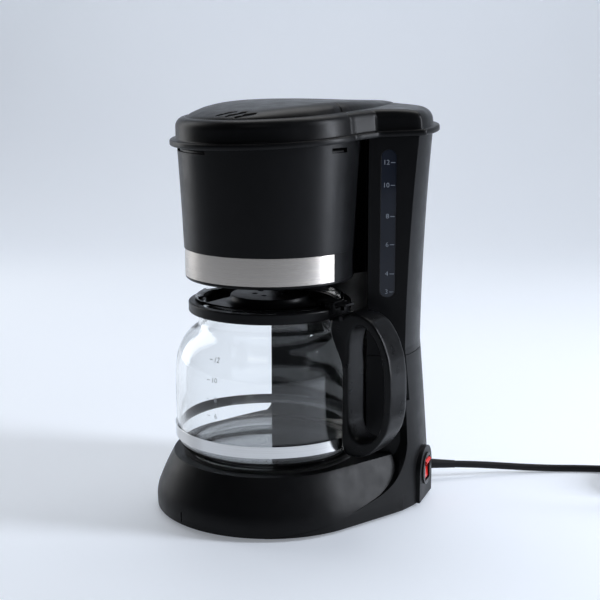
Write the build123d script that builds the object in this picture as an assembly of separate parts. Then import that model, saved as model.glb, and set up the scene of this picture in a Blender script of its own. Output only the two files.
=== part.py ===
from build123d import *
import math
import os

# Drip coffee maker with a glass jug, twelve small cups. Millimetres, +Z up, front towards -Y.
# Every piece is drawn about the jug's axis, standing on Z = 0; main() then moves it so that the
# origin lies on the floor under the middle of the machine's bounding box.

# Driving dimensions
BASE_R = 92.5            # rounded front of the base, about the jug's axis
BACK_R = 92.5            # rounded back at the floor, about the tank's axis
BACK_Y = 51.0            # from the jug's axis back to the tank's axis
WAIST_R = 83.3           # narrowest radius of the back
WAIST_Z = 132.0
SKIRT_Z = 3.0            # lower edge of the housing, held up by the feet
DECK_Z = 46.0            # top of the base round the hot plate
DECK_R = 78.2
SEAM_Z = 126.0           # joint between the base and the upper housing
SEAM_GAP = 0.5
RECESS_R = 78.5          # hollow of the column, round the jug
HEAD_Z = 187.4           # underside of the brew head
RIM_Z = 293.9            # top edge of the housing above the jug's axis
RIM_TILT = 3.15          # the rim and lid rise towards the back, degrees
LID_GAP = 0.4
WALL = 2.4
WING_N = (0.777, -0.6295)  # normal of the slanted face that carries the gauge
WING_C = 17.2            # its distance from the jug's axis, along that normal
JUG_Z = 47.7             # the jug stands on the hot plate
GLASS_R = 75.7
HANDLE_ANGLE = 15.5      # the handle points right and a little back, degrees from +X
CORD_D = 6.0
CORD_Z = CORD_D / 2 + 0.05
SWITCH_ANGLE = 31.0      # degrees from +X, about the tank's axis
EXIT_ANGLE = 62.0        # the cord's exit, degrees from +X, about the tank's axis
FRAME_SHIFT = (-13.605, -33.131, 0)  # puts the middle of the bounding box over the origin
TOP = 340.0              # higher than anything


# Helpers

def spin(*path):
    """Turn a closed outline of (radius, height) about Z; a pair of points is an arc's middle and end."""
    edges = []
    start = at = path[0]
    for step in path[1:]:
        if isinstance(step[0], tuple):
            middle, end = step
            edges.append(ThreePointArc((at[0], 0, at[1]), (middle[0], 0, middle[1]), (end[0], 0, end[1])))
        else:
            end = step
            edges.append(Line((at[0], 0, at[1]), (end[0], 0, end[1])))
        at = end
    edges.append(Line((at[0], 0, at[1]), (start[0], 0, start[1])))
    return revolve(Face(Wire(edges)), Axis.Z)


def slab(sketch, low, high):
    """Extrude a sketch on the floor plane between two heights."""
    return Pos(0, 0, low) * extrude(sketch, high - low)


def disc(radius, low, high, x=0, y=0):
    return Pos(x, y, 0) * slab(Circle(radius), low, high)


def ring(inner, outer, low, high, x=0, y=0):
    return Pos(x, y, 0) * slab(Circle(outer) - Circle(inner), low, high)


def block(x0, x1, y0, y1, z0, z1):
    return Pos((x0 + x1) / 2, (y0 + y1) / 2, (z0 + z1) / 2) * Box(x1 - x0, y1 - y0, z1 - z0)


def wedge(start, end, radius, low, high):
    """Sector of a disc between two angles, for cutting slots in round walls."""
    middle = (start + end) / 2
    corners = [(radius * math.cos(math.radians(a)), radius * math.sin(math.radians(a)))
               for a in (start, middle, end)]
    return slab(make_face(Polyline((0, 0), *corners, (0, 0))), low, high)


def both_sides(shape):
    return shape + mirror(shape, about=Plane.YZ)


def on_back(angle, radius, height):
    """Frame on the rounded back: X points outwards and Z up."""
    turn = math.radians(angle)
    return Location((radius * math.cos(turn), BACK_Y + radius * math.sin(turn), height), (0, 0, angle))


def at_handle(shape):
    """Turn a shape drawn along +X to the handle's direction."""
    return Rot(0, 0, HANDLE_ANGLE) * shape


def on_rim(shape):
    """Put a shape drawn on the floor plane onto the tilted rim, a small gap above it."""
    return Pos(0, 0, RIM_Z + LID_GAP) * Rot(RIM_TILT, 0, 0) * shape


def above_rim(drop=0):
    """Everything above the tilted rim, or above a plane some way below it."""
    return Pos(0, 0, RIM_Z - drop) * Rot(RIM_TILT, 0, 0) * block(-200, 200, -200, 260, 0, 120)


def pipe(points, outer, inner=0.0, name=None):
    """Tube along straight runs joined by arcs as large as the runs allow."""
    spots = [Vector(*p) for p in points]
    runs = [(b - a).length for a, b in zip(spots, spots[1:])]
    radii = []
    for i in range(1, len(spots) - 1):
        turn = math.radians((spots[i] - spots[i - 1]).get_angle(spots[i + 1] - spots[i]))
        radii.append(0.45 * min(runs[i - 1], runs[i]) / math.tan(turn / 2))
    path = FilletPolyline(*points, radius=radii) if radii else Line(*points)
    section = Circle(outer / 2) - Circle(inner / 2) if inner else Circle(outer / 2)
    start = Plane(origin=path @ 0, z_dir=path % 0)
    tube = sweep(start * section, path=path)
    if name:
        area = math.pi * (outer ** 2 - inner ** 2) / 4
        print(name, "radii", [round(r) for r in radii], "length", round(path.length, 1),
              "volume over section x length", round(tube.volume / area / path.length, 3))
    return tube


# Housing outlines

def back_profile(inset):
    """Half section of the housing's flared back, from the floor edge to above the rim."""
    return (0, SKIRT_Z), (BACK_R - inset, SKIRT_Z), (BACK_R - inset, 12), \
        ((88.7 - inset, 66), (WAIST_R - inset, WAIST_Z)), \
        ((85.2 - inset, 215), (90.3 - inset, 300)), (91.3 - inset, TOP), (0, TOP)


def back_solid(inset):
    return Pos(0, BACK_Y, 0) * spin(*back_profile(inset))


def column_region(inset):
    """Plan of the column: behind the two slanted faces and outside the jug's recess."""
    def wing_x(y):
        return (WING_C - inset - WING_N[1] * y) / WING_N[0]
    near, far = 40, 170
    side = [(wing_x(near), near), (wing_x(far), far), (wing_x(far), 260)]
    outline = side + [(-x, y) for x, y in reversed(side)]
    return slab(Polygon(*outline, align=None), -10, TOP + 10) - disc(RECESS_R + inset, -20, TOP + 20)


def column(inset, low, high):
    return back_solid(inset) & column_region(inset) & block(-150, 150, 0, 200, low, high)


def deck_profile(inset):
    """Half section of the base under the jug: upright skirt, then a dome up to the deck."""
    return (0, SKIRT_Z), (BASE_R - 0.3 - inset, SKIRT_Z), (BASE_R - 0.1 - inset, 9), \
        ((91.8 - inset, 15.5 - inset / 3), (89.8 - inset, 21.5 - inset / 3)), \
        ((85.2 - inset, 32.3 - inset / 2), (DECK_R - inset, DECK_Z - inset)), (0, DECK_Z - inset)


def straight_part(profile, y0, y1):
    """The same half section run straight back along both sides."""
    edges = []
    at = profile[0]
    for step in profile[1:]:
        if isinstance(step[0], tuple):
            middle, end = step
            edges.append(ThreePointArc((at[0], y0, at[1]), (middle[0], y0, middle[1]), (end[0], y0, end[1])))
        else:
            end = step
            edges.append(Line((at[0], y0, at[1]), (end[0], y0, end[1])))
        at = end
    edges.append(Line((at[0], y0, at[1]), (profile[0][0], y0, profile[0][1])))
    return both_sides(extrude(Face(Wire(edges)), y1 - y0, dir=(0, 1, 0)))


def apron(inset):
    """The column's side sweeps forward and down into the base, ending in a curved crease."""
    crease = Spline((0, -60, 3 - inset), (0, -14, 9 - inset), (0, 24 + inset, 17 - inset),
                    (0, 46 + inset, 24 - inset), (0, 61 + inset, 36 - inset), (0, 70 + inset, 56 - inset))
    outline = Face(Wire([crease, Line(crease @ 1, (0, 70 + inset, 90)), Line((0, 70 + inset, 90), (0, 170, 90)),
                         Line((0, 170, 90), (0, 170, -5)), Line((0, 170, -5), (0, -60, -5)),
                         Line((0, -60, -5), crease @ 0)]))
    behind = extrude(outline, 150, both=True)
    sides = spin(*back_profile(inset)) + straight_part(back_profile(inset), 0, BACK_Y) + back_solid(inset)
    return sides & behind & block(-150, 150, -60, 200, SKIRT_Z, 90)


def base_mass(inset, top):
    deck = spin(*deck_profile(inset)) + straight_part(deck_profile(inset), 0, 62)
    return deck + (apron(inset) - disc(RECESS_R + inset, DECK_Z - inset, 100)) + column(inset, SKIRT_Z, top)


# Base

POSTS = [(radius * math.cos(math.radians(a)), radius * math.sin(math.radians(a)))
         for radius, a in ((72.6, -35), (72.6, -145), (72.6, 22), (72.6, 158))]
FEET = [(0, -78), (66, -8), (-66, -8), (52, 106), (-52, 106)]
COVER_Z = 3.4
COVER_T = 2.4
PLATE_HOLE_R = 67.2


def switch_boss():
    """Flat-faced arch on the curved side, round the mains switch."""
    arch = Circle(19) + Pos(0, -12) * Rectangle(38, 24)
    return on_back(SWITCH_ANGLE, 87.5, 27) * Rot(0, 90, 0) * Rot(0, 0, 90) * extrude(arch, 5.7)


def base_shell():
    shell = base_mass(0, SEAM_Z) + (switch_boss() & block(-150, 150, 0, 200, SKIRT_Z, 60))
    shell -= base_mass(WALL, TOP - 20)
    shell += [disc(4, COVER_Z + COVER_T, DECK_Z - 1, x, y) for x, y in POSTS]
    shell -= [disc(1.5, 0, 22, x, y) for x, y in POSTS]
    shell -= disc(PLATE_HOLE_R, DECK_Z - 8, DECK_Z + 5)
    shell -= on_back(SWITCH_ANGLE, 80, 27) * Rot(0, 90, 0) * Cylinder(11.7, 40)
    shell -= on_back(EXIT_ANGLE, 88, 14) * Rot(0, 90, 0) * Cylinder(5.5, 20)
    shell -= block(5.8, 7.2, -96, -84, 5, 13)
    return shell


def base_cover():
    plan = Circle(BASE_R - WALL - 0.7) + Pos(0, BACK_Y) * Circle(BACK_R - WALL - 0.7)
    plan += Pos(0, BACK_Y / 2) * Rectangle(2 * (BACK_R - WALL - 0.7), BACK_Y)
    for row in range(6):
        plan -= Pos(0, 68 + 7 * row) * SlotOverall(60, 3)
    plan -= [Pos(x, y) * Circle(1.7) for x, y in POSTS]
    cover = slab(plan, COVER_Z, COVER_Z + COVER_T)
    cover -= [disc(4.1, 0, COVER_Z + 1.4, x, y) for x, y in FEET]
    return cover


def rubber_feet():
    foot = spin((0, 0), (6.4, 0), (7, 0.6), (7.6, COVER_Z), (4, COVER_Z), (4, COVER_Z + 1.4), (0, COVER_Z + 1.4))
    return Compound([Pos(x, y, 0) * foot for x, y in FEET])


def base_screws():
    screw = spin((0, 1.5), (2.4, 1.5), (2.9, 2.1), (2.9, COVER_Z), (1.45, COVER_Z), (1.45, 16), (0, 18))
    screw -= Pos(0, 0, 1.5) * (Box(3.6, 0.7, 1.4) + Box(0.7, 3.6, 1.4))
    return Compound([Pos(x, y, 0) * screw for x, y in POSTS])


# Heating

PLATE_TOP = 47.4
HEATER_R = 42.0
HEATER_TOP = 46.0
PORT_X = 22.3            # the heater's two water ports, either side of the middle
PORT_Z = 32.0
HOSE_OD = 12.0
HOSE_ID = 9.2
OUTLET_AT = (28, 104)    # the tank's outlet, seen from above
RISER_Y = 89.0


def hot_plate():
    pan = spin((0, PLATE_TOP - 1.2), (62, PLATE_TOP - 1.2), (64.4, 44), (64.4, 39), (65.6, 39),
               (65.6, 45.2), ((65.2, 46.8), (63.6, PLATE_TOP)), (0, PLATE_TOP))
    return pan


def plate_seal():
    return spin((65.8, 42), (67.1, 42), (67.1, DECK_Z), (70, DECK_Z), (70, 46.6), (68.4, 47.3), (65.8, 47.3))


def heater_body():
    """Cast aluminium horseshoe: heating rod on top and water tube beneath, both ends at the back."""
    section = Pos(HEATER_R, 0) * (Rectangle(16, 9) + Pos(0, -6.5) * Rectangle(10, 6))
    face = Plane.XZ * Pos(0, HEATER_TOP - 4.5) * section
    shoe = Rot(0, 0, 122) * revolve(face, Axis.Z, revolution_arc=296)
    stubs = [pipe([(x, 36, PORT_Z), (x, 52, PORT_Z)], 9, 6) for x in (PORT_X, -PORT_X)]
    return shoe + stubs


def heater_clamp():
    bar = block(-9, 9, -60, 60, 29.8, 31.8) + block(-9, 9, -60, -56, 31.8, HEATER_TOP)
    bar += block(-9, 9, 56, 60, 31.8, HEATER_TOP)
    return bar - disc(2.1, 28, 36)


def clamp_screw():
    return disc(1.9, 26.6, PLATE_TOP - 1.3) + disc(4.2, 26.6, 29.7)


def thermostat():
    body = disc(8.5, 21, 29.6, HEATER_R, 0) + disc(10.5, 29.6, 31.7, HEATER_R, 0)
    tabs = [block(HEATER_R + x - 1, HEATER_R + x + 1, -1.5, 1.5, 14.5, 21) for x in (-5, 5)]
    return body + tabs


def thermal_fuse():
    across, height = -HEATER_R, 28.8
    sleeve = pipe([(across, -14, height), (across, 14, height)], 5.6)
    return sleeve + [pipe([(across, y, height), (across, y + 12, height)], 1.4) for y in (-26, 14)]


def check_valve():
    """Ball valve that lets water leave the tank but not come back."""
    body = ring(3.2, 4.5, 99, 128, *OUTLET_AT) + ring(4.4, 9, 125.6, 128.4, *OUTLET_AT)
    seat = ring(1.6, 3.3, 118, 119.4, *OUTLET_AT)
    return body + seat


def inlet_hose():
    return pipe([(*OUTLET_AT, 110), (*OUTLET_AT, 84), (27.5, 101, 58), (25, 86, 37), (PORT_X, 66, PORT_Z),
                 (PORT_X, 45.6, PORT_Z)], HOSE_OD, HOSE_ID, "inlet hose")


def outlet_hose():
    return pipe([(-PORT_X, 45.6, PORT_Z), (-PORT_X, 66, PORT_Z), (-22, 85, 37), (-13, 92, 54),
                 (0, RISER_Y, 74), (0, RISER_Y, 102)], HOSE_OD, 10.2, "outlet hose")


# Column, tank and brew head

HEAD_FLOOR = HEAD_Z + 2.6
BAND_LOW = 190.0
BAND_HIGH = 211.0
NECK_X = 36.0
LEDGE_Z = 265.0
LID_HINGE_AT = (144.6, -3.6)  # the lid's hinge in the lid's own frame: back, and down from its flange
TILT = math.radians(RIM_TILT)
HINGE_Y = LID_HINGE_AT[0] * math.cos(TILT) - LID_HINGE_AT[1] * math.sin(TILT)
HINGE_Z = RIM_Z + LID_GAP + LID_HINGE_AT[0] * math.sin(TILT) + LID_HINGE_AT[1] * math.cos(TILT)
BAND_END = 11.0          # how far back the steel band runs round each side
RIM_SLOTS = [(-127, -79, 286.6, 289.2), (3, 17, 287.4, 291.0), (163, 177, 287.4, 291.0)]
GAUGE_LOW = 172.7
GAUGE_HIGH = 287.6
GAUGE_W = 11.8
GAUGE_S = 16.9           # from the slanted face's inner edge to the middle of the gauge


def gauge_frame(depth):
    """Frame on the slanted face: X along it, Y up, Z outwards."""
    inner_edge = Vector(60.7, 47.7, 0)
    along = Vector(-WING_N[1], WING_N[0], 0)
    normal = Vector(WING_N[0], WING_N[1], 0)
    middle = inner_edge + along * GAUGE_S - normal * depth + Vector(0, 0, (GAUGE_LOW + GAUGE_HIGH) / 2)
    return Plane(origin=middle, x_dir=along, z_dir=normal)


def gauge_shape(grow, depth, thickness):
    tall = GAUGE_HIGH - GAUGE_LOW + 2 * grow
    shape = Rot(0, 0, 90) * SlotOverall(tall, GAUGE_W + 2 * grow)
    return extrude(gauge_frame(depth) * shape, thickness)


def head_outside():
    return spin((0, HEAD_Z), (65.4, HEAD_Z), (66.5, 188.5), (66.5, 189.8), (65.9, 189.8), (65.9, 211.2),
                (67.3, 211.2), ((69.1, 250), (72.1, 300)), (72.1, TOP), (0, TOP))


def head_inside():
    return spin((0, HEAD_FLOOR), (63.4, HEAD_FLOOR), (63.6, 211.2), (64.9, 215),
                ((66.6, 250), (69.7, 300)), (69.7, TOP), (0, TOP))


def upper_housing():
    low = SEAM_Z + SEAM_GAP
    shell = column(0, low, TOP - 10) + head_outside() + block(-NECK_X, NECK_X, 40, 90, HEAD_Z, TOP - 10)
    cavity = column(WALL, low - 5, TOP) + head_inside()
    cavity += block(WALL - NECK_X, NECK_X - WALL, 40, 95, HEAD_FLOOR, TOP)
    shell -= cavity
    spigot = column(WALL + 0.3, SEAM_Z - 4, low + 0.1) + column(WALL - 0.1, low, low + 1.6)
    shell += spigot - column(2 * WALL, SEAM_Z - 10, low + 9)
    shell += ring(63, 68.2, LEDGE_Z - 2.5, LEDGE_Z)
    barrel = Pos(0, HINGE_Y, HINGE_Z) * Rot(0, 90, 0) * Cylinder(3.4, 24)
    barrel += block(-12, 12, 139, HINGE_Y, HINGE_Z - 8, HINGE_Z - 1.5)
    shell -= above_rim()
    shell += barrel
    shell -= Pos(0, HINGE_Y, HINGE_Z) * Rot(0, 90, 0) * Cylinder(1.55, 30)
    shell -= disc(34, HEAD_Z - 5, HEAD_FLOOR + 5)
    for start, end, low, high in RIM_SLOTS:
        shell -= wedge(start, end, 90, low, high) - disc(69, 280, 295)
    shell += (ring(64, 66.7, BAND_LOW, BAND_HIGH) & block(-80, 80, BAND_END + 0.3, 90, 180, 220)) - cavity
    shell -= gauge_shape(0.1, WALL + 1, WALL + 2)
    return shell


def steel_band():
    return ring(66.0, 66.8, BAND_LOW, BAND_HIGH) - block(-80, 80, BAND_END, 90, 180, 220)


def water_tank():
    outside = column(WALL + 0.6, 128.5, TOP) - block(-8, 8, 60, 98, 120, TOP)
    inside = column(WALL + 2.4, 130.5, TOP) - block(-9.8, 9.8, 60, 99.8, 120, TOP)
    return outside - inside - above_rim(1.5) - disc(4.8, 120, 140, *OUTLET_AT)


def tank_strainer():
    """Fine dome over the tank's outlet."""
    dome = spin((4.9, 130.6), (9, 130.6), ((6.6, 136.8), (0.5, 139.4)), (0, 139.4), (0, 138.6), (0.4, 138.6),
                ((5.8, 136.2), (8.1, 131.4)), (4.9, 131.4))
    return Pos(*OUTLET_AT, 0) * dome


def gauge_window():
    return gauge_shape(0, WALL - 0.1, 2.0)


def riser_tube():
    return ring(3.5, 5, 92, 294, 0, RISER_Y)


def riser_seal():
    """Soft collar that meets the water channel in the lid."""
    return Pos(0, RISER_Y, 0) * spin((5.05, 289), (7.4, 289), (7.4, 295), (6.0, 298.2), (5.05, 298.2))


def hinge_pin():
    return Pos(0, HINGE_Y, HINGE_Z) * Rot(0, 90, 0) * Cylinder(1.5, 38)


# Lid

FLANGE_T = 4.4
FLANGE_GROW = 4.9
LID_TOP = 21.0
CROWN_TOP = 30.0
VENTS = [(15.2, -50.2), (25.0, -48.9), (34.0, -46.6)]
VENT_TURN = 54.8


def cap_outline(grow):
    """Plan of the lid's wall: front circle, neck and rounded back with its slanted faces."""
    def wing_x(y):
        return (WING_C - 1 + grow - WING_N[1] * y) / WING_N[0]
    near, far = 44, 170
    side = [(wing_x(near), near), (wing_x(far), far), (wing_x(far), 260)]
    wings = Polygon(*side, *[(-x, y) for x, y in reversed(side)], align=None)
    neck = Polygon((67.3 + grow, 26), (64.6 + grow, 54), (-64.6 - grow, 54), (-67.3 - grow, 26), align=None)
    back = Pos(0, BACK_Y) * Circle(91 + grow) & wings
    return Circle(72.2 + grow) + neck + back


def teardrop(grow):
    """Raised shape on the lid: round over the brew head, running back to a narrow tip."""
    big, small, tip_y = 62 + grow, 6 + grow, 125
    slope = math.asin((big - small) / (tip_y + 2))
    reach = [(big * math.cos(slope), -2 + big * math.sin(slope)),
             (small * math.cos(slope), tip_y + small * math.sin(slope))]
    tail = Polygon(*reach, *[(-x, y) for x, y in reversed(reach)], align=None)
    return Pos(0, -2) * Circle(big) + tail + Pos(0, tip_y) * Circle(small)


def lid():
    wall = extrude(cap_outline(0), LID_TOP - 5) + slab(cap_outline(-1.2), LID_TOP - 5, LID_TOP - 2.2)
    wall += slab(cap_outline(-4.2), LID_TOP - 2.2, LID_TOP)
    body = extrude(cap_outline(FLANGE_GROW), FLANGE_T) + wall
    ball_r = 323.0
    dome = slab(teardrop(-1), LID_TOP - 1, CROWN_TOP + 1) & Pos(0, 0, CROWN_TOP - ball_r) * Sphere(ball_r)
    body += dome + slab(teardrop(0), LID_TOP - 1, LID_TOP + 2)
    body -= slab(cap_outline(-WALL), -1, LID_TOP - WALL)
    for x, y in VENTS:
        body -= Pos(x, y, LID_TOP) * Rot(0, 0, VENT_TURN) * slab(SlotOverall(16.6, 2.6), -6, 20)
    for side in (-1, 1):
        back, down = LID_HINGE_AT
        lug = block(13, 17, back - 3.4, back + 3.4, down, 1)
        lug += Pos(15, back, down) * Rot(0, 90, 0) * Cylinder(3.4, 4)
        lug -= Pos(15, back, down) * Rot(0, 90, 0) * Cylinder(1.58, 10)
        body += lug if side > 0 else mirror(lug, about=Plane.YZ)
    return on_rim(body)


def water_channel():
    """Tray under the lid that carries hot water from the riser to the shower holes."""
    tray = block(-12, 12, 0, 100, 0.6, 9) + disc(31, 0.6, 9)
    tray -= block(-10.4, 10.4, 0, 98.4, 2.2, 12) + disc(29.4, 2.2, 12)
    tray += [disc(2.6, 2, LID_TOP - WALL, x, y) for x, y in ((0, 50), (0, -20), (-20, 0), (20, 0))]
    tray -= disc(4.5, 0, 5, 0, RISER_Y)
    for i in range(8):
        turn = math.radians(45 * i + 22.5)
        tray -= disc(1.5, 0, 5, 22 * math.cos(turn), 22 * math.sin(turn))
    return on_rim(tray)


# Filter and drip valve

BASKET_RIM = 267.4
SPRING_TOP = 195.8       # the valve's spring presses up against this ledge
SPRING_LOW = 184.6
SPRING_WIRE = 0.8


def filter_basket():
    return spin((27, 197), (50, 205.5), (61.4, 262), (61.4, LEDGE_Z + 0.3), (66, LEDGE_Z + 0.3), (66, BASKET_RIM),
               (59.4, BASKET_RIM), (59.2, 262), (48.2, 207.4), (26, 199.2), (5.2, 198), (5.2, SPRING_TOP),
               (7.2, SPRING_TOP), (7.2, 188), (8.8, 188), (8.8, 195.6), (25, 195.6), (25, 184.2), (27, 184.2))


def mesh_filter():
    """Reusable filter: fine mesh cone in a rimmed frame."""
    return spin((0, 208.6), (46.6, 208.6), (57.9, 262), (58.3, 268), (61, 268), (61, 269.4), (56.8, 269.4),
                (56.6, 262), (45.6, 209.8), (0, 209.8))


def valve_plunger():
    return spin((0, 183), (7.6, 183), (7.6, SPRING_LOW), (3, SPRING_LOW), (3, 198.9), (7.4, 199.2),
                (7.4, 200.6), (0, 202.4))


def valve_seal():
    return ring(7.45, 8.8, 198.5, 200.3)


def valve_spring():
    rise = SPRING_TOP - SPRING_LOW - SPRING_WIRE - 0.2
    coil = Helix(pitch=rise / 5, height=rise, radius=5.6)
    start = Plane(origin=coil @ 0, z_dir=coil % 0)
    wire = sweep(start * Circle(SPRING_WIRE / 2), path=coil)
    return Pos(0, 0, SPRING_LOW + SPRING_WIRE / 2 + 0.1) * wire


# Jug

COLLAR_LOW = 160.3
COLLAR_HIGH = 168.5
COLLAR_R = 64.6
LID_HINGE = 63.6         # the jug lid's pin, from the jug's axis
LID_HINGE_Z = 171.0
STRAP_LOW = 60.5
STRAP_HIGH = 69.5
GRIP_HALF = 12.0


def glass_jug():
    outside = spin((0, JUG_Z + 1.2), (50, JUG_Z + 0.4), (61, JUG_Z), ((70.6, 50.6), (74.6, 60)),
                   ((75.9, 88), (75.3, 118)), ((70.0, 136.5), (59.5, 147.4)), ((57.2, 150), (56.8, 154)),
                   (56.8, 162), ((57.4, 168), (59.4, 171.8)), (0, 171.8))
    inside = spin((0, JUG_Z + 4), (50, JUG_Z + 3.4), (60, JUG_Z + 3), ((68.6, 53.0), (72.3, 61)),
                  ((73.6, 88), (73.0, 117.6)), ((68.2, 134.8), (58.4, 145.4)), ((55.2, 149), (54.6, 154)),
                  (54.6, 162), ((55.2, 168.8), (57.4, 172.4)), (0, 172.4))
    return outside - inside


def jug_collar():
    band = spin((57.0, COLLAR_LOW), (63.4, COLLAR_LOW), ((64.3, 160.8), (COLLAR_R, 162)),
                (COLLAR_R, 167), ((64.2, 168.2), (63.2, COLLAR_HIGH)), (59.4, COLLAR_HIGH), (57.4, 165))
    ears = both_ends(block(58.8, 67, 6.2, 9, COLLAR_HIGH - 3, LID_HINGE_Z + 2.4))
    ears -= at_hinge(Cylinder(1.3, 30))
    return band + at_handle(ears - disc(59.8, 150, 180))


def both_ends(shape):
    return shape + mirror(shape, about=Plane.XZ)


def at_hinge(shape):
    """Lay a shape drawn along Z on the jug lid's pin, before turning to the handle."""
    return Pos(LID_HINGE, 0, LID_HINGE_Z) * Rot(90, 0, 0) * shape


def jug_handle():
    outside = Face(Wire([Line((66.5, 0, 160.6), (65.8, 0, 168.4)),
                         ThreePointArc((65.8, 0, 168.4), (80, 0, 169.6), (93, 0, 168.6)),
                         ThreePointArc((93, 0, 168.6), (109.5, 0, 157.5), (118, 0, 138)),
                         ThreePointArc((118, 0, 138), (120.8, 0, 114), (120, 0, 92)),
                         ThreePointArc((120, 0, 92), (116, 0, 78), (107, 0, 66)),
                         ThreePointArc((107, 0, 66), (98, 0, 58.4), (86, 0, 56)),
                         Line((86, 0, 56), (70, 0, 56)),
                         Line((70, 0, 56), (70, 0, 148)), Line((70, 0, 148), (66.5, 0, 160.6))]))
    inside = Face(Wire([ThreePointArc((82, 0, 138), (84.5, 0, 154), (93, 0, 160)),
                        ThreePointArc((93, 0, 160), (107, 0, 150), (112.6, 0, 134)),
                        ThreePointArc((112.6, 0, 134), (114.6, 0, 113), (114, 0, 92)),
                        ThreePointArc((114, 0, 92), (108, 0, 74), (95, 0, 69)),
                        ThreePointArc((95, 0, 69), (85, 0, 73), (82, 0, 84)),
                        Line((82, 0, 84), (82, 0, 138))]))
    loop = extrude(outside, GRIP_HALF, both=True) - extrude(inside, 2 * GRIP_HALF, both=True)
    loop -= disc(GLASS_R + 1.3, 40, 128)
    loop -= spin((0, 126), (GLASS_R + 1.3, 126), ((72.6, 136.5), (63, 150)), (63, 158), (0, 158))
    loop -= disc(COLLAR_R + 0.1, 155, 180)
    loop -= block(60, 78, -9.3, 9.3, COLLAR_HIGH - 3.5, 180)
    return at_handle(loop)


def jug_strap():
    gap = 7.0
    band = ring(GLASS_R + 0.2, GLASS_R + 0.9, STRAP_LOW, STRAP_HIGH)
    return at_handle(band - wedge(-gap, gap, 120, 50, 90))


def jug_screws():
    lower = Rot(0, 90, 0) * (Cylinder(1.4, 6) + Pos(0, 0, 3.4) * Cylinder(2.6, 1.2))
    upper = Pos(76, -GRIP_HALF + 1, 163.4) * Rot(90, 0, 0) * Cylinder(1.8, 3)
    return Compound([at_handle(Pos(79, 0, 64.5) * lower), at_handle(upper)])


def jug_lid():
    plate = spin((0, 165.6), (53.0, 165.6), (53.8, 166.6), (53.8, 168.4), (52.4, 168.4), (52.0, 167.2),
                 (35.6, 167.2), ((33.0, 168.6), (31.2, 172)), ((30.8, 172.8), (29.8, 173)), (0, 173))
    plate -= disc(27.5, 160, 171) + at_handle(block(-60, -34.5, -60, 60, 160, 180))
    plate -= [disc(2.4, 160, 180, 12 * math.cos(math.radians(a)), 12 * math.sin(math.radians(a)))
              for a in range(0, 360, 60)]
    arm = block(49, LID_HINGE + 1, -5.8, 5.8, 172.2, 173.8) + block(49, 53, -5.8, 5.8, 166, 173.8)
    arm += at_hinge(Cylinder(2.2, 11.6)) + block(LID_HINGE - 2, LID_HINGE + 2, -5.8, 5.8, 171, 173.8)
    arm += block(LID_HINGE, 76, -5.8, 5.8, 171.4, 173.2)
    return plate + at_handle(arm - at_hinge(Cylinder(1.3, 30)))


def jug_lid_pin():
    return at_handle(at_hinge(Cylinder(1.24, 18)))


# Switch

SWITCH_FACE = 93.2       # the boss's flat face, from the tank's axis
PIVOT_IN = 3.2           # the rocker's pivot lies behind the face
ROCKER_W = 13.4
ROCKER_TIP = 8.8


def switch_frame(depth):
    return on_back(SWITCH_ANGLE, SWITCH_FACE - depth, 27)


def rocker_hole(depth):
    return Box(depth, ROCKER_W + 0.8, 2 * ROCKER_TIP + 0.8)


def switch_bezel():
    rim = Rot(0, 90, 0) * Cylinder(13, 1.2)
    return switch_frame(-0.65) * (rim - rocker_hole(6))


def switch_body():
    body = Rot(0, 90, 0) * Cylinder(11.4, 15) - Pos(3, 0, 0) * rocker_hole(13)
    tabs = Pos(-10, 0, 4) * Box(8, 0.8, 4.8) + Pos(-10, 0, -4) * Box(8, 0.8, 4.8)
    return switch_frame(7.6) * (body + tabs)


def switch_rocker():
    """Rocker pressed in at the bottom; its tips turn on a circle about the pivot."""
    tip = ROCKER_TIP
    front = 4.6
    half = math.sqrt(tip ** 2 - front ** 2)
    side = Face(Wire([Line((front, 0, half), (2.6, 0, 0)), Line((2.6, 0, 0), (front, 0, -half)),
                      ThreePointArc((front, 0, -half), (1.5, 0, -math.sqrt(tip ** 2 - 1.5 ** 2)), (-2, 0, -7.2)),
                      Line((-2, 0, -7.2), (-2, 0, 7.2)),
                      ThreePointArc((-2, 0, 7.2), (1.5, 0, math.sqrt(tip ** 2 - 1.5 ** 2)), (front, 0, half))]))
    rocker = extrude(side, ROCKER_W / 2, both=True)
    return switch_frame(PIVOT_IN) * Rot(0, 10, 0) * rocker


# Mains cord, all on the floor behind and right of the machine

COIL_R = 33.0
COIL_TURNS = 3.25
ROUTE = [(56.5, 157.2, 11.6), (65.8, 174.8, 9.9), (76.0, 193.6, 7.4), (88.0, 213.5, 4.9),
         (101.5, 233.5, 3.3), (115.5, 251.5, CORD_Z), (137.0, 274.0, CORD_Z), (159.5, 294.5, CORD_Z)]


def coil_centre():
    """The coil lies on the right of the cord's last run, which meets it as a tangent."""
    last = (Vector(*ROUTE[-1]) - Vector(*ROUTE[-2])).normalized()
    return Vector(*ROUTE[-1]) + Vector(last.Y, -last.X, 0) * COIL_R


def coil_end():
    """Where the last turn leaves the coil, and which way it runs there."""
    centre = coil_centre()
    start = Vector(*ROUTE[-1]) - centre
    turn = math.atan2(start.Y, start.X) - 2 * math.pi * COIL_TURNS
    spot = centre + Vector(COIL_R * math.cos(turn), COIL_R * math.sin(turn), COIL_TURNS * CORD_D)
    return spot, Vector(math.sin(turn), -math.cos(turn), 0)


def strain_relief():
    sleeve = spin((0, 0), (4.4, 0), (3.25, 28), (0, 28)) + disc(4.9, -6, 0.01) + disc(6.6, -9, -6)
    tilt = math.degrees(math.atan2(14 - ROUTE[0][2], 28))
    return on_back(EXIT_ANGLE, 92.4, 14) * Rot(0, 90 + tilt, 0) * sleeve


def cord_tail():
    """The cord inside the housing, from the strain relief to the clamp."""
    return on_back(EXIT_ANGLE, 66, 14) * Rot(0, 90, 0) * disc(CORD_D / 2, 0, 16.6)


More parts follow.
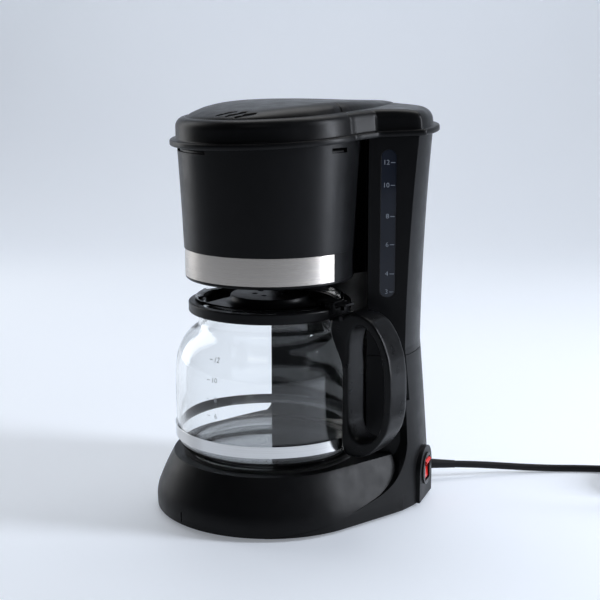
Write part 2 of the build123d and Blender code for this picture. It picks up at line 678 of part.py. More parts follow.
def cord_clamp():
    bar = block(-4, 4, -13, 13, 0, 3) - Pos(0, 0, -2.1) * Rot(0, 90, 0) * Cylinder(CORD_D / 2, 20)
    feet = block(-4, 4, -13, -8, -10.2, 0) + block(-4, 4, 8, 13, -10.2, 0)
    return on_back(EXIT_ANGLE, 72, 14 + 2.1) * (bar + feet)


def power_cord():
    return pipe(ROUTE, CORD_D, name="power cord")


def cord_coil():
    centre = coil_centre()
    half = CORD_D / 2
    return ring(COIL_R - half, COIL_R + half, 0.05, COIL_TURNS * CORD_D + CORD_D, centre.X, centre.Y)


def plug_lead():
    spot, run = coil_end()
    points = [spot + run * 2, spot + run * 16 + Vector(0, 0, -1), spot + run * 30 + Vector(0, 0, -3.2)]
    return pipe([tuple(p) for p in points], CORD_D, name="plug lead")


def plug_frame():
    spot, run = coil_end()
    return Plane(origin=spot + run * 30 + Vector(0, 0, -3.2), x_dir=(0, 0, 1), z_dir=run)


def plug_body():
    body = spin((0, 0), (4.2, 0), (5.2, 12), ((9, 17), (16, 19)), ((18.2, 21), (18.4, 24)), (18.4, 38),
                (17.6, 39), (0, 39))
    return plug_frame() * body


def plug_pins():
    pin = spin((0, 39.05), (2.4, 39.05), (2.4, 56.8), ((2.0, 57.8), (1.0, 58.2)), (0, 58.2))
    return Compound([plug_frame() * Pos(0, side * 9.5, 0) * pin for side in (-1, 1)])


PIECES = [base_shell, base_cover, rubber_feet, base_screws, hot_plate, plate_seal, heater_body, heater_clamp,
          clamp_screw, thermostat, thermal_fuse, check_valve, inlet_hose, outlet_hose, upper_housing, steel_band,
          water_tank, tank_strainer, gauge_window, riser_tube, riser_seal, hinge_pin, lid, water_channel,
          filter_basket, mesh_filter, valve_plunger, valve_seal, valve_spring, glass_jug, jug_collar, jug_handle,
          jug_strap, jug_screws, jug_lid, jug_lid_pin, switch_bezel, switch_body, switch_rocker, strain_relief,
          cord_tail, cord_clamp, power_cord, cord_coil, plug_lead, plug_body, plug_pins]
ON_CORD = ("power_cord", "cord_coil", "plug_lead", "plug_body", "plug_pins")


def main():
    os.makedirs("parts", exist_ok=True)
    machine = []
    for piece in PIECES:
        shape = piece().moved(Location(FRAME_SHIFT))
        export_step(shape, "parts/" + piece.__name__ + ".step")
        if piece.__name__ not in ON_CORD:
            machine.append(shape)
    box = Compound(machine).bounding_box()
    print("machine without its cord:", box)


main()
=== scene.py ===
import math

import bpy
import bmesh
from mathutils import Matrix, Vector


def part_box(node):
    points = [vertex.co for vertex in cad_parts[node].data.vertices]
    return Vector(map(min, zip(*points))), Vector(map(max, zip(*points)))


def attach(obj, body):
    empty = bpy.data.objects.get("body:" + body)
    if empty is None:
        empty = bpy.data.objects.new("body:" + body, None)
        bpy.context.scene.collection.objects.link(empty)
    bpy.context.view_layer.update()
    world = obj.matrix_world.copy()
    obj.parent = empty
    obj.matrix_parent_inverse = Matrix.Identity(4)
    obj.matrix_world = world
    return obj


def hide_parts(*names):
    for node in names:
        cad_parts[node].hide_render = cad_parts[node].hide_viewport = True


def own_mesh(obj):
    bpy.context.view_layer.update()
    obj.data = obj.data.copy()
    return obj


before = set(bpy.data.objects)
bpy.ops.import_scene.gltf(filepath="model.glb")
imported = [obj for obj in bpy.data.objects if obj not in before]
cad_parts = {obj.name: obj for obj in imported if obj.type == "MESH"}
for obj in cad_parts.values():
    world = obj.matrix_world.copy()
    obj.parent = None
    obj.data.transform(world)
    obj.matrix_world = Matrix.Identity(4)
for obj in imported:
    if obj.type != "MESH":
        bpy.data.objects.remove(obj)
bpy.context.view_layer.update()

# Shapes are drawn in millimetres about the jug's axis, as in the CAD source.
# TO_FRAME puts them in the row frame.
MM = 0.001
AXIS_X, AXIS_Y = -0.013605, -0.033131
TO_FRAME = Matrix.Translation((AXIS_X, AXIS_Y, 0)) @ Matrix.Scale(MM, 4)
HANDLE_TURN = Matrix.Rotation(math.radians(15.5), 4, "Z")
# The lid's own frame: its underside lies on the sloping rim.
RIM = Matrix.Translation((0, 0, 294.3)) @ Matrix.Rotation(math.radians(3.15), 4, "X")


# Camera

CAMERA_TURN = math.radians(51.04)

camera = bpy.data.objects.new("camera", bpy.data.cameras.new("camera"))
bpy.context.scene.collection.objects.link(camera)
camera.location = (0.7360, -0.6085, 0.3539)
camera.rotation_euler = (math.radians(78.82), 0, CAMERA_TURN)
camera.data.lens = 72.5
camera.data.sensor_width = 36
camera.data.clip_start = 0.05
bpy.context.scene.camera = camera


# Materials

def material(name, colour, roughness, metallic=0.0, **inputs):
    made = bpy.data.materials.new(name)
    made.use_nodes = True
    shader = made.node_tree.nodes["Principled BSDF"]
    shader.inputs["Base Color"].default_value = (*colour, 1)
    shader.inputs["Roughness"].default_value = roughness
    shader.inputs["Metallic"].default_value = metallic
    for key, value in inputs.items():
        shader.inputs[key.replace("_", " ")].default_value = value
    return made


def node(made, kind, **settings):
    new = made.node_tree.nodes.new(kind)
    for key, value in settings.items():
        if hasattr(new, key):
            setattr(new, key, value)
        else:
            new.inputs[key.replace("_", " ")].default_value = value
    return new


def noise(made, scale, stretch=(1, 1, 1), detail=3.0):
    """Noise over the piece's own coordinates, drawn out along the axes whose stretch is small."""
    place = node(made, "ShaderNodeTexCoord")
    mapping = node(made, "ShaderNodeMapping")
    mapping.inputs["Scale"].default_value = stretch
    texture = node(made, "ShaderNodeTexNoise", Scale=scale, Detail=detail)
    link(made, place.outputs["Object"], mapping.inputs["Vector"])
    link(made, mapping.outputs["Vector"], texture.inputs["Vector"])
    return texture.outputs["Fac"]


def link(made, output, socket):
    made.node_tree.links.new(output, socket)


# Where nearly all of a noise texture's values lie
NOISE_LOW, NOISE_HIGH = 0.3, 0.7


def spread(made, source, low, high):
    """Map a noise texture to a range of numbers."""
    ranged = node(made, "ShaderNodeMapRange")
    ranged.inputs["From Min"].default_value = NOISE_LOW
    ranged.inputs["From Max"].default_value = NOISE_HIGH
    ranged.inputs["To Min"].default_value = low
    ranged.inputs["To Max"].default_value = high
    link(made, source, ranged.inputs["Value"])
    return ranged.outputs["Result"]


def two_tone(made, source, dark, light):
    """Map a noise texture to colours between two."""
    ramp = node(made, "ShaderNodeValToRGB")
    ramp.color_ramp.elements[0].position = NOISE_LOW
    ramp.color_ramp.elements[0].color = (*dark, 1)
    ramp.color_ramp.elements[1].position = NOISE_HIGH
    ramp.color_ramp.elements[1].color = (*light, 1)
    link(made, source, ramp.inputs["Fac"])
    return ramp.outputs["Color"]


def surface(made, grain, depth, rounding=0.0):
    """Bump of the given depth, and edges that look rounded by a radius, both in metres."""
    shader = made.node_tree.nodes["Principled BSDF"]
    bump = node(made, "ShaderNodeBump", Distance=depth, Strength=0.6)
    link(made, grain, bump.inputs["Height"])
    if rounding:
        bevel = node(made, "ShaderNodeBevel", samples=4, Radius=rounding)
        link(made, bevel.outputs["Normal"], bump.inputs["Normal"])
    link(made, bump.outputs["Normal"], shader.inputs["Normal"])


def moulded(name, dark, light, rough, grain=1800.0, depth=0.00006, rounding=0.0006, **inputs):
    """Moulded plastic or rubber: fine grain, cloudy colour and slightly uneven gloss."""
    made = material(name, dark, rough, **{"Specular_IOR_Level": 0.14, **inputs})
    shader = made.node_tree.nodes["Principled BSDF"]
    cloud = noise(made, 28.0)
    link(made, two_tone(made, cloud, dark, light), shader.inputs["Base Color"])
    link(made, spread(made, noise(made, 90.0, detail=6.0), rough - 0.04, rough + 0.05),
         shader.inputs["Roughness"])
    surface(made, noise(made, grain, detail=2.0), depth, rounding)
    return made


def metal(name, dark, light, rough, stretch, depth=0.00002, **inputs):
    """Metal with lines drawn out along the directions whose stretch is small."""
    made = material(name, dark, rough, metallic=1.0, **inputs)
    shader = made.node_tree.nodes["Principled BSDF"]
    lines = noise(made, 900.0, stretch, 4.0)
    link(made, two_tone(made, lines, dark, light), shader.inputs["Base Color"])
    link(made, spread(made, lines, rough - 0.05, rough + 0.06), shader.inputs["Roughness"])
    surface(made, lines, depth, 0.0002)
    return made


HOUSING = moulded("housing_plastic", (0.0032, 0.0033, 0.0038), (0.0046, 0.0047, 0.0053), 0.33)
BASE = moulded("base_plastic", (0.0036, 0.0037, 0.0041), (0.0050, 0.0051, 0.0056), 0.40)
LID = moulded("lid_plastic", (0.0036, 0.0037, 0.0041), (0.0050, 0.0051, 0.0056), 0.34)
HANDLE = moulded("handle_plastic", (0.0032, 0.0033, 0.0037), (0.0045, 0.0046, 0.0051), 0.30)
COVER = moulded("cover_plastic", (0.012, 0.012, 0.013), (0.018, 0.018, 0.019), 0.5)
RUBBER = moulded("seal_rubber", (0.012, 0.012, 0.012), (0.02, 0.02, 0.02), 0.6, 900.0, 0.0001)
TANK = moulded("tank_plastic", (0.02, 0.021, 0.023), (0.027, 0.028, 0.031), 0.35)
BASKET = moulded("basket_plastic", (0.014, 0.014, 0.015), (0.019, 0.019, 0.020), 0.38)
VALVE = moulded("valve_plastic", (0.62, 0.61, 0.58), (0.70, 0.69, 0.66), 0.4)
HOSE = moulded("hose_silicone", (0.55, 0.52, 0.47), (0.63, 0.60, 0.55), 0.5, 500.0)
CORD = moulded("cord_rubber", (0.008, 0.008, 0.009), (0.013, 0.013, 0.014), 0.42, 1200.0, 0.00005, 0.0)
PLATE = moulded("plate_enamel", (0.012, 0.012, 0.013), (0.020, 0.020, 0.021), 0.14, 400.0, 0.00001,
                Coat_Weight=1.0, Coat_Roughness=0.06)
SWITCH = moulded("switch_plastic", (0.010, 0.010, 0.010), (0.014, 0.014, 0.014), 0.25)
ROCKER = moulded("rocker_plastic", (0.62, 0.012, 0.010), (0.74, 0.022, 0.016), 0.16,
                 600.0, 0.00001, 0.0004, Coat_Weight=0.6, Coat_Roughness=0.05,
                 Subsurface_Weight=0.15, Subsurface_Scale=0.004)
FUSE = moulded("fuse_sleeve", (0.55, 0.52, 0.43), (0.66, 0.63, 0.54), 0.7, 2400.0, 0.0002)
MESH = moulded("filter_mesh", (0.05, 0.04, 0.03), (0.09, 0.07, 0.05), 0.5, 3000.0, 0.0003)
BAND = metal("band_steel", (0.45, 0.415, 0.38), (0.50, 0.465, 0.43), 0.25, (0.01, 0.01, 6.0), 0.000004,
             Anisotropic=0.4)
STRAP = metal("strap_steel", (0.60, 0.60, 0.60), (0.70, 0.70, 0.70), 0.14, (0.01, 0.01, 2.0))
STEEL = metal("screw_steel", (0.42, 0.42, 0.41), (0.55, 0.55, 0.54), 0.32, (1, 1, 1))
BLACKED = metal("blackened_steel", (0.020, 0.020, 0.021), (0.035, 0.035, 0.036), 0.42, (1, 1, 1))
CAST = metal("cast_aluminium", (0.42, 0.42, 0.43), (0.60, 0.60, 0.61), 0.5, (0.3, 0.3, 0.3), 0.0003)
NICKEL = metal("nickel", (0.62, 0.60, 0.56), (0.70, 0.68, 0.64), 0.18, (1, 1, 0.05))
GAUGE = moulded("gauge_window", (0.010, 0.013, 0.021), (0.015, 0.019, 0.030), 0.16, 300.0, 0.00001, 0.0003,
                Coat_Weight=0.5, Coat_Roughness=0.04)
PRINT = moulded("print_white", (0.24, 0.27, 0.32), (0.30, 0.33, 0.38), 0.6, 900.0, 0.00001, 0.0)
JUG_PRINT = moulded("print_grey", (0.42, 0.44, 0.46), (0.50, 0.52, 0.54), 0.6, 900.0, 0.00001, 0.0)
GLASS = material("jug_glass", (0.985, 0.995, 0.995), 0.0, Transmission_Weight=1.0, IOR=1.47)
surface(GLASS, noise(GLASS, 22.0, (1, 1, 0.4), 1.0), 0.0002)

FINISH = {
    HOUSING: ["upper_housing"],
    BASE: ["base_shell"],
    LID: ["jug_collar", "jug_lid"],
    COVER: ["base_cover", "cord_clamp"],
    RUBBER: ["rubber_feet", "plate_seal", "riser_seal", "valve_seal"],
    TANK: ["water_tank", "water_channel"],
    BASKET: ["filter_basket"],
    MESH: ["mesh_filter"],
    VALVE: ["check_valve", "tank_strainer", "riser_tube", "valve_plunger"],
    HOSE: ["inlet_hose", "outlet_hose"],
    CORD: ["cord_tail", "strain_relief", "plug_body"],
    PLATE: ["hot_plate"],
    SWITCH: ["switch_bezel", "switch_body", "thermostat"],
    ROCKER: ["switch_rocker"],
    FUSE: ["thermal_fuse"],
    BAND: ["steel_band"],
    STRAP: ["jug_strap"],
    STEEL: ["base_screws", "clamp_screw", "heater_clamp", "hinge_pin"],
    BLACKED: ["jug_screws", "jug_lid_pin"],
    CAST: ["heater_body"],
    NICKEL: ["plug_pins"],
    GAUGE: ["gauge_window"],
}
for finish, names in FINISH.items():
    for name in names:
        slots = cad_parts[name].data.materials
        slots.clear()
        slots.append(finish)


# Building pieces

def piece(name, build, finish, body, replaced=(), own_frame=Matrix.Identity(4), smooth=35):
    """A mesh from a bmesh function, put in the row frame, finished and tied to its body.

    own_frame is the frame that build draws in; edges sharper than smooth degrees stay sharp.
    """
    shape = bmesh.new()
    build(shape)
    bmesh.ops.recalc_face_normals(shape, faces=shape.faces)
    mesh = bpy.data.meshes.new(name)
    shape.transform(TO_FRAME @ own_frame)
    shape.to_mesh(mesh)
    shape.free()
    made = bpy.data.objects.new(name, mesh)
    bpy.context.scene.collection.objects.link(made)
    mesh.materials.append(finish)
    mesh.shade_smooth()
    mesh.set_sharp_from_angle(angle=math.radians(smooth))
    tie(made, body, replaced)
    return made


def tie(made, body, replaced=()):
    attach(made, body)
    if replaced:
        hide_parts(*replaced)


def loft(shape, rings, loop=False):
    """Join closed rings of equal length; the first and last are capped unless they form a loop."""
    rows = [[shape.verts.new(point) for point in ring] for ring in rings]
    pairs = list(zip(rows, rows[1:]))
    if loop:
        pairs.append((rows[-1], rows[0]))
    for near, far in pairs:
        for i in range(len(near)):
            shape.faces.new((near[i - 1], near[i], far[i], far[i - 1]))
    if not loop:
        shape.faces.new(rows[0])
        shape.faces.new(reversed(rows[-1]))
    return rows


def lathe(shape, outline, steps, warp=lambda radius, turn, height: (radius, height)):
    """Turn a closed outline of (radius, height) about Z."""
    rings = []
    for i in range(steps):
        turn = 2 * math.pi * i / steps
        ring = []
        for radius, height in outline:
            far, up = warp(radius, turn, height)
            ring.append((far * math.cos(turn), far * math.sin(turn), up))
        rings.append(ring)
    loft(shape, rings, loop=True)


def curve_through(points, steps):
    """Smooth open curve through the points (Catmull-Rom), any number of coordinates each."""
    ends = [points[0]] + list(points) + [points[-1]]
    line = []
    for a, b, c, d in zip(ends, ends[1:], ends[2:], ends[3:]):
        for i in range(steps):
            t = i / steps
            line.append(tuple(0.5 * (2 * q + (r - p) * t + (2 * p - 5 * q + 4 * r - s) * t * t
                                     + (3 * q - p - 3 * r + s) * t ** 3)
                              for p, q, r, s in zip(a, b, c, d)))
    line.append(tuple(points[-1]))
    return line


# Mains cord: the route's points from the CAD source, then the coil's turns and the plug's lead

CORD_D = 0.006
ROUTE = [(0.04289, 0.12407, 0.0116), (0.05219, 0.14167, 0.0099), (0.06239, 0.16047, 0.0074),
         (0.07440, 0.18037, 0.0049), (0.08790, 0.20037, 0.0033), (0.10189, 0.21837, 0.00305),
         (0.12339, 0.24087, 0.00305), (0.14589, 0.26137, 0.00305)]
COIL_R = 0.033
COIL_TURNS = 3.25
TURN_POINTS = 16
# After the coil: distance along the plug's lead, and how far the lead has sunk
LEAD = ((0.009, 0.0003), (0.020, 0.0018), (0.030, 0.0032))

last_run = (Vector(ROUTE[-1]) - Vector(ROUTE[-2])).normalized()
coil_centre = Vector(ROUTE[-1]) + Vector((last_run.y, -last_run.x, 0)) * COIL_R
first_turn = math.atan2(ROUTE[-1][1] - coil_centre.y, ROUTE[-1][0] - coil_centre.x)
cord_points = [Vector(point) for point in ROUTE]
for i in range(1, round(COIL_TURNS * TURN_POINTS) + 1):
    share = i / TURN_POINTS
    angle = first_turn - 2 * math.pi * share
    across, ahead = COIL_R * math.cos(angle), COIL_R * math.sin(angle)
    cord_points.append(coil_centre + Vector((across, ahead, share * CORD_D)))
lead_run = Vector((math.sin(angle), -math.cos(angle), 0))
coil_end = cord_points[-1]
for along, drop in LEAD:
    cord_points.append(coil_end + lead_run * along - Vector((0, 0, drop)))

flex_data = bpy.data.curves.new("mains_flex", "CURVE")
flex_data.dimensions = "3D"
flex_data.bevel_depth = CORD_D / 2
flex_data.bevel_resolution = 6
flex_data.use_fill_caps = True
spline = flex_data.splines.new("NURBS")
spline.points.add(len(cord_points) - 1)
for control, point in zip(spline.points, cord_points):
    control.co = (*point, 1)
spline.order_u = 3
spline.use_endpoint_u = True
spline.resolution_u = 6
flex = bpy.data.objects.new("mains_flex", flex_data)
bpy.context.scene.collection.objects.link(flex)
flex_data.materials.append(CORD)
tie(flex, "housing", ("power_cord", "cord_coil", "plug_lead"))


# Lid

LID_CENTRE = (0.0, 30.0)
FRONT_R = 72.2
# Walls of the lid's right half, each as its normal and its distance from the jug's axis
WING = (0.777, -0.6295, 16.2)
NECK_SIDE = (1, 0.0964, 69.8)
NECK_BACK = (0, 1, 54)
NECK_FRONT = (0, -1, -26)
BACK_Y = 51.0
BACK_R = 91.0
FLANGE_GROW = 4.9


def circle_reach(direction, middle, radius):
    """Distance from the lid's centre to a circle round it, along a direction."""
    offset = Vector(middle) - Vector(LID_CENTRE)
    along = direction.dot(offset)
    return along + math.sqrt(max(along ** 2 - offset.length_squared + radius ** 2, 0))


def line_reach(direction, normal_x, normal_y, distance):
    """Distance from the lid's centre to a straight wall, along a direction."""
    facing = normal_x * direction.x + normal_y * direction.y
    room = distance - normal_x * LID_CENTRE[0] - normal_y * LID_CENTRE[1]
    return room / facing if facing > 1e-6 else 1e6


def soft_min(a, b, width):
    """The smaller of two, blended where they differ by less than width."""
    blend = max(width - abs(a - b), 0) / width
    return min(a, b) - blend * blend * width / 4


def soft_max(a, b, width):
    return -soft_min(-a, -b, width)


def cap_reach(turn, grow):
    """Distance from the lid's centre to its wall, grown outwards."""
    direction = Vector((abs(math.cos(turn)), math.sin(turn)))
    front = circle_reach(direction, (0, 0), FRONT_R + grow)
    neck = min(line_reach(direction, NECK_SIDE[0], NECK_SIDE[1], NECK_SIDE[2] + grow),
               line_reach(direction, *NECK_BACK), line_reach(direction, *NECK_FRONT))
    wing = line_reach(direction, WING[0], WING[1], WING[2] + grow)
    back = soft_min(circle_reach(direction, (0, BACK_Y), BACK_R + grow), wing, 5.0)
    return soft_max(soft_max(front, neck, 2.0), back, 3.0)


# The teardrop is the space swept by a circle that shrinks as it moves back.
DROP_STEPS = 32
DROP_FRONT, DROP_LENGTH = -2, 127
DROP_TAIL_R, DROP_SHRINK = 6, 57


def drop_reach(turn, grow):
    """Distance from the lid's centre to the raised teardrop's edge."""
    direction = Vector((math.cos(turn), math.sin(turn)))
    best = 0.0
    for i in range(DROP_STEPS + 1):
        share = i / DROP_STEPS
        middle_y = DROP_FRONT + DROP_LENGTH * share
        radius = DROP_TAIL_R + DROP_SHRINK * (1 - share ** 1.5) + grow
        offset = Vector((0, middle_y)) - Vector(LID_CENTRE)
        along = direction.dot(offset)
        inside = along ** 2 - offset.length_squared + radius ** 2
        if inside > 0:
            best = max(best, along + math.sqrt(inside))
    return best


def lid_ring(reach, height):
    """Ring of points from (turn, distance) pairs, raised to height(x, y)."""
    ring = []
    for turn, radius in reach:
        x = LID_CENTRE[0] + radius * math.cos(turn)
        y = LID_CENTRE[1] + radius * math.sin(turn)
        ring.append((x, y, height(x, y)))
    return ring


def lid_top(x, y):
    """Height of the lid's shoulder plane, lower towards the back."""
    behind = min(max((y - 40) / 60, 0), 1)
    outward = max(math.hypot(x, y - BACK_Y) - 60, 0) / 25
    return 21.0 - behind * (1.0 + 2.6 * outward * outward)


DOME_TOP, DOME_Y = 29.2, 12


def dome(x, y):
    """The raised teardrop's own surface: a shallow dome that sinks into the tail."""
    fall = 900 if y < DOME_Y else 700 + 4.5 * (y - DOME_Y)
    crown = DOME_TOP - x * x / 2500 - (y - DOME_Y) ** 2 / fall
    return soft_max(crown, lid_top(x, y) + 0.9, 5.0)


TURNS = [math.radians(a * 0.5) for a in range(720)]
SHOULDER_R, SHOULDER_STEPS = 7.2, 7
LID_WALL = 2.4
CEILING = 17.4          # the lid's inside, over the brew basket


def ceiling(x, y):
    """Height of the lid's inside, lower towards the back."""
    return CEILING - 3.4 * max(0, min(1, (y - 20) / 110))


def build_lid(shape):
    # Outside, from the flange's foot up to the middle of the dome
    walls = [(FLANGE_GROW - 0.5, 0.0), (FLANGE_GROW, 0.6), (FLANGE_GROW, 3.2), (FLANGE_GROW - 0.4, 4.0),
             (FLANGE_GROW - 1.1, 4.4), (0.8, 4.4), (0.2, 4.7), (0.0, 5.4)]
    rings = [lid_ring([(t, cap_reach(t, grow)) for t in TURNS], lambda x, y, z=z: z) for grow, z in walls]
    rings.append(lid_ring([(t, cap_reach(t, -0.3)) for t in TURNS], lambda x, y: lid_top(x, y) - 7.5))
    for i in range(1, SHOULDER_STEPS + 1):
        bend = math.pi / 2 * i / SHOULDER_STEPS
        inset, rise = SHOULDER_R * (1 - math.cos(bend)), SHOULDER_R * math.sin(bend)
        rings.append(lid_ring([(t, cap_reach(t, -0.3 - inset)) for t in TURNS],
                              lambda x, y, rise=rise: lid_top(x, y) - 7.4 + rise))
    inner = [(t, min(cap_reach(t, -7.7), drop_reach(t, 1.2), cap_reach(t, -8.2))) for t in TURNS]
    rings.append(lid_ring(inner, lambda x, y: lid_top(x, y) - 0.1))
    crease = [(t, min(drop_reach(t, 0.4), r - 0.6)) for t, r in inner]
    rings.append(lid_ring(crease, lambda x, y: lid_top(x, y) - 0.9))
    edge = [(t, min(drop_reach(t, -0.8), r - 1.0)) for t, r in crease]
    rings.append(lid_ring(edge, lambda x, y: lid_top(x, y) + 0.3))
    for share in (0.975, 0.94, 0.89, 0.82, 0.74, 0.65, 0.55, 0.44, 0.32, 0.2, 0.1, 0.03, 0.0005):
        rise = min((1 - share) / 0.14, 1) ** 0.6
        rings.append(lid_ring(
            [(t, r * share) for t, r in edge],
            lambda x, y, rise=rise: (lid_top(x, y) + 0.3) * (1 - rise) + dome(x, y) * rise))
    # Inside, from the middle out to the walls and down
    for share in (0.0005, 0.1, 0.5, 0.9):
        rings.append(lid_ring([(t, cap_reach(t, -1 - LID_WALL) * share) for t in TURNS], ceiling))
    for grow, height in ((-0.5 - LID_WALL, 14.6), (-LID_WALL, 10), (-LID_WALL, 0.0)):
        rings.append(lid_ring([(t, cap_reach(t, grow)) for t in TURNS], lambda x, y, h=height: h))
    loft(shape, rings, loop=True)


LUG_X, LUG_Y, LUG_Z = 15, 144.6, -3.6
LUG_R = 3.4
LUG_WIDE = 4


def build_lugs(shape):
    """Two round lugs at the hinge pin, each with a block up to the lid's flange."""
    across = Matrix.Rotation(math.pi / 2, 4, "Y")
    for side in (-LUG_X, LUG_X):
        bmesh.ops.create_cone(shape, cap_ends=True, segments=40, radius1=LUG_R, radius2=LUG_R, depth=LUG_WIDE,
                              matrix=Matrix.Translation((side, LUG_Y, LUG_Z)) @ across)
        bmesh.ops.create_cube(shape, size=1, matrix=Matrix.Translation((side, LUG_Y, -1.2))
                              @ Matrix.Diagonal((LUG_WIDE, 2 * LUG_R, 4.6, 1)))


VENTS = ((15.2, -50.2), (25.0, -48.9), (34.0, -46.6))
VENT_TURN = math.radians(54.8)
VENT_R = 1.3
VENT_HALF = 7.0         # from a slot's middle to the centre of its rounded end


def build_vents(shape):
    """Tall slot-shaped blocks, to be taken out of the lid."""
    for x, y in VENTS:
        slot = []
        for i in range(32):
            angle = 2 * math.pi * i / 32
            along = VENT_R * math.cos(angle) + math.copysign(VENT_HALF, math.cos(angle))
            across = VENT_R * math.sin(angle)
            slot.append((x + along * math.cos(VENT_TURN) - across * math.sin(VENT_TURN),
                         y + along * math.sin(VENT_TURN) + across * math.cos(VENT_TURN)))
        loft(shape, [[(px, py, height) for px, py in slot] for height in (10, 40)])


def cut(made, build, own_frame):
    """Take a closed shape out of a piece of the lid, for good."""
    tool = piece(made.name + "_tool", build, LID, "lid", (), own_frame)
    modifier = made.modifiers.new("cut", "BOOLEAN")
    modifier.operation = "DIFFERENCE"
    modifier.solver = "EXACT"
    modifier.object = tool
    bpy.context.view_layer.update()
    final = bpy.data.meshes.new_from_object(made.evaluated_get(bpy.context.evaluated_depsgraph_get()))
    made.modifiers.clear()
    made.data = final
    bpy.data.objects.remove(tool)


lid = piece("lid_shell", build_lid, LID, "lid", ("lid",), RIM, 50)
cut(lid, build_vents, RIM)
piece("lid_lugs", build_lugs, LID, "lid", (), RIM)


# Drip valve's spring, pressed up against the basket's ledge

SPRING_LOW, SPRING_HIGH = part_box("valve_spring")
SPRING_WIRE_R = 0.4
SPRING_R = 5.6
SPRING_TURNS = 5


def build_spring(shape):
    low, high = SPRING_LOW[2] / MM + SPRING_WIRE_R, SPRING_HIGH[2] / MM - SPRING_WIRE_R
    rings = []
    for i in range(SPRING_TURNS * 32 + 1):
        turn = 2 * math.pi * i / 32
        height = low + (high - low) * i / (SPRING_TURNS * 32)
        ring = []
        for k in range(10):
            around = 2 * math.pi * k / 10
            radius = SPRING_R + SPRING_WIRE_R * math.cos(around)
            ring.append((radius * math.cos(turn), radius * math.sin(turn),
                         height + SPRING_WIRE_R * math.sin(around)))
        rings.append(ring)
    loft(shape, rings)


spring = piece("drip_valve_spring", build_spring, STEEL, "basket", ("valve_spring",))
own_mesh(spring)


# Jug

# Outside and inside of the glass, as radius and height, from the bottom's middle up and back down
GLASS_OUT = [(0, 48.9), (30, 48.7), (50, 48.1), (58, 47.75), (64, 48.1), (69.2, 50.0), (72.6, 53.6),
             (74.6, 60), (75.4, 70), (75.9, 88), (75.9, 104), (75.2, 119), (73.0, 129.5), (69.6, 136.8),
             (65.4, 142.4), (60.6, 146.8), (57.8, 149.6), (56.9, 153.6), (56.8, 162), (57.2, 166.5),
             (58.2, 169.8), (59.3, 171.5)]
GLASS_IN = [(58.6, 171.9), (57.4, 171.0), (56.1, 168.8), (55.0, 165), (54.6, 160), (54.7, 153),
            (55.8, 148.6), (58.6, 145.2), (63.6, 140.4), (67.7, 135.2), (71.0, 128.4), (73.0, 117.6),
            (73.7, 104), (73.6, 88), (73.1, 71), (72.3, 61), (70.5, 55.4), (66.4, 52.0), (60, 50.9),
            (40, 51.3), (0.4, 51.8)]
SPOUT_TURN = math.pi
SPOUT_OUT = 5.0         # how far the lip reaches out at the rim
SPOUT_HALF = 0.42       # half the lip's width, in radians
SPOUT_LOW, SPOUT_TALL = 158, 13.9


def pour(radius, turn, height):
    """Draw the rim out into a pouring lip opposite the handle."""
    away = abs((turn - SPOUT_TURN + math.pi) % (2 * math.pi) - math.pi)
    lip = max(0.0, 1 - away / SPOUT_HALF) ** 2 * max(0.0, (height - SPOUT_LOW) / SPOUT_TALL) ** 1.5
    return radius + SPOUT_OUT * lip, height


def build_glass(shape):
    outside = curve_through(GLASS_OUT, 4)
    inside = curve_through(GLASS_IN, 4)
    outline = [(max(r, 0.3), z) for r, z in outside + inside]    # no points on the axis
    lathe(shape, outline, 192, pour)


piece("jug_glass_body", build_glass, GLASS, "jug", ("glass_jug",), HANDLE_TURN, 60)

HANDLE_CENTRE = (97.0, 113.0)
HANDLE_WIDE = 24.0
HANDLE_SQUARE = 0.28    # 1 makes the grip's section an ellipse, 0 a rectangle
# The handle's outer edge and its finger opening, as distance from the jug's axis and height
HANDLE_OUT = [(76.9, 58.5), (76.9, 90), (76.9, 126), (74.2, 135.5), (69.2, 143.2), (65.3, 147.5),
              (65.1, 156), (65.1, 164.6), (78.0, 164.9), (78.6, 168.6), (86, 169.2), (93, 168.6),
              (104.5, 162.8), (112.6, 151.5), (118, 138), (120.3, 124), (120.7, 108), (120, 92),
              (116.8, 79.5), (110.6, 69.8), (103, 61.6), (96, 57.4), (88, 56.1), (79.2, 56.0)]
HANDLE_IN = [(82.4, 84), (82.0, 104), (82.0, 138), (82.6, 148.5), (86.0, 156.8), (93, 160.2),
             (100.5, 156.8), (107, 149.2), (111.4, 138.5), (113.9, 124), (114.4, 108), (113.6, 91),
             (110.6, 79.5), (104.6, 72), (95, 69.2), (87.6, 71.6), (83.6, 77.2)]


def reach_table(outline):
    """Corners of a closed outline about the handle's centre: angle, distance and place, by angle."""
    points = [(x - HANDLE_CENTRE[0], z - HANDLE_CENTRE[1]) for x, z in outline]
    return sorted((math.atan2(z, x), math.hypot(x, z), x, z) for x, z in points)


def outline_reach(table, angle):
    """Distance to a closed outline's straight edges in a direction.

    A direction past both ends of the table, near half a turn, takes the first corner's distance.
    """
    for k in range(len(table)):
        a0, _, x0, z0 = table[k - 1]
        a1, _, x1, z1 = table[k]
        low = a0 - 2 * math.pi if k == 0 else a0
        if low <= angle <= a1 or (k == 0 and low <= angle - 2 * math.pi <= a1):
            dx, dz = math.cos(angle), math.sin(angle)
            ex, ez = x1 - x0, z1 - z0
            return (x0 * ez - z0 * ex) / (dx * ez - dz * ex)
    return table[0][1]


# Angles over which the outline's distance is averaged, so that its corners are rounded
ROUNDING = [0.016 * step for step in range(-5, 6)]


